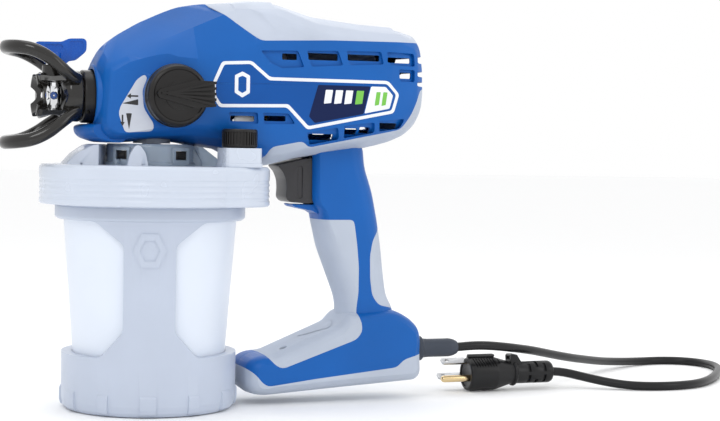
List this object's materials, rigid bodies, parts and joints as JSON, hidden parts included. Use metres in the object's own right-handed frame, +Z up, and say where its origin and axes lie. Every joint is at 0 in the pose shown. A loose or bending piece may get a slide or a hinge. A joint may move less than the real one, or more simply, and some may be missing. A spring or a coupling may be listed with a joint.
{
  "type": "airless paint sprayer",
  "caption": "Handheld corded airless paint sprayer with a screw-on cup, pistol handle on a foot, spray-tip guard, prime and spray knob, trigger, speed rocker and plug.",
  "frame": {"origin": "on the cup's axis, at the underside of the cup", "axes": "+X towards the cord, -X along the spray, +Y to the operator's right, +Z up"},
  "size_m": [0.5733, 0.1838, 0.2645],
  "materials": {
    "blue_shell": "satin blue",
    "grey_shell": "satin light grey",
    "soft_grey": "soft light grey",
    "decal_film": "gloss dark blue film",
    "label_film": "gloss light grey film",
    "clear_plastic": "frosted translucent plastic",
    "liner_film": "milky translucent film",
    "black_plastic": "satin black",
    "gloss_black": "gloss black",
    "dark_grey": "satin dark grey",
    "flag_blue": "gloss blue",
    "steel": "brushed",
    "chrome": "bright",
    "brass": "bright",
    "copper_winding": "lacquered copper wire",
    "magnet": "dull dark grey",
    "board": "satin green",
    "rubber_black": "matt black",
    "relief_grey": "matt dark grey"
  },
  "bodies": {
    "gun": {"left_housing": "blue_shell", "right_housing": "blue_shell", "top_cover": "grey_shell", "lower_trim": "soft_grey", "front_grip": "soft_grey", "rear_grip": "soft_grey", "sole_pad": "soft_grey", "side_decal": "decal_film", "valve_label": "label_film", "housing_screws": "steel", "pump_block": "steel", "outlet_fitting": "steel", "inlet_stem": "grey_shell", "cup_mount_ring": "clear_plastic", "lock_tabs": "black_plastic", "cup_cover": "clear_plastic", "vent_valve_base": "clear_plastic", "suction_tube": "clear_plastic", "inlet_filter": "black_plastic", "trigger_spring": "steel", "trigger_switch": "black_plastic", "speed_switch": "black_plastic", "control_board": "board", "motor_can": "steel", "motor_magnets": "magnet", "motor_front_plate": "steel", "motor_end_plate": "black_plastic", "front_bearing": "chrome", "rear_bearing": "chrome", "gear_plate": "steel", "piston_spring": "steel", "cord_clamp": "black_plastic", "strain_relief": "relief_grey", "power_cord": "rubber_black", "plug_body": "rubber_black", "plug_blades": "steel", "ground_pin": "brass"},
    "rotor": {"motor_shaft": "steel", "armature": "copper_winding", "cooling_fan": "black_plastic", "motor_pinion": "steel"},
    "wobble": {"drive_gear": "brass", "wobble_plate": "steel"},
    "piston": {"piston": "chrome"},
    "selector": {"selector_knob": "black_plastic", "valve_stem": "steel"},
    "nut": {"retaining_nut": "black_plastic"},
    "guard": {"tip_guard": "gloss_black", "tip_seal": "rubber_black"},
    "tip": {"tip_barrel": "chrome", "tip_flag": "flag_blue"},
    "vent_cap": {"vent_cap": "black_plastic"},
    "cup_seal": {"cup_gasket": "rubber_black"},
    "cup": {"cup_support": "clear_plastic", "cup_liner": "liner_film"},
    "trigger": {"trigger": "dark_grey", "switch_plunger": "grey_shell"},
    "speed_rocker": {"speed_rocker": "dark_grey"}
  },
  "joints": [
    {"name": "trigger_pull", "type": "slide", "parent": "gun", "child": "trigger", "axis": [1, 0, 0], "range_m": [0, 0.006], "stiffness_N_per_m": 600, "springref_m": -0.002, "deforming": ["trigger_spring"]},
    {"name": "selector_turn", "type": "hinge", "parent": "gun", "child": "selector", "pos_m": [0.0055, -0.045, 0.2], "axis": [0, 1, 0], "range_deg": [0, 90]},
    {"name": "nut_turn", "type": "hinge", "parent": "gun", "child": "nut", "pos_m": [-0.04, 0, 0.199], "axis": [1, 0, 0], "range_deg": [0, 360]},
    {"name": "guard_turn", "type": "hinge", "parent": "gun", "child": "guard", "pos_m": [-0.052, 0, 0.199], "axis": [1, 0, 0], "range_deg": [0, 90]},
    {"name": "tip_turn", "type": "hinge", "parent": "guard", "child": "tip", "pos_m": [-0.064, 0, 0.199], "axis": [0, 0, 1], "range_deg": [0, 180]},
    {"name": "vent_cap_turn", "type": "hinge", "parent": "gun", "child": "vent_cap", "pos_m": [0.0445, -0.0485, 0.165], "axis": [0, 0, 1], "range_deg": [0, 120]},
    {"name": "cup_unscrew", "type": "hinge", "parent": "gun", "child": "cup_seal", "pos_m": [0, 0, 0.15], "axis": [0, 0, 1], "range_deg": [0, 720]},
    {"name": "cup_lower", "type": "slide", "parent": "cup_seal", "child": "cup", "axis": [0, 0, -1], "range_m": [0, 0.012]},
    {"name": "motor_spin", "type": "hinge", "parent": "gun", "child": "rotor", "pos_m": [0.117, 0, 0.2158], "axis": [1, 0, 0], "continuous": true},
    {"name": "gear_spin", "type": "hinge", "parent": "gun", "child": "wobble", "pos_m": [0.06, 0, 0.199], "axis": [1, 0, 0], "continuous": true},
    {"name": "piston_slide", "type": "slide", "parent": "gun", "child": "piston", "axis": [1, 0, 0], "range_m": [0, 0.0021], "stiffness_N_per_m": 1500, "springref_m": -0.001, "deforming": ["piston_spring"]},
    {"name": "speed_rock", "type": "hinge", "parent": "gun", "child": "speed_rocker", "pos_m": [0.149, 0.0345, 0.2], "axis": [0, 0, 1], "range_deg": [-16, 0]}
  ],
  "couplings": [
    {"joint": "gear_spin", "follows": "motor_spin", "ratio": -0.41176},
    {"joint": "cup_lower", "follows": "cup_unscrew", "m_per_rad": 0.00095}
  ]
}
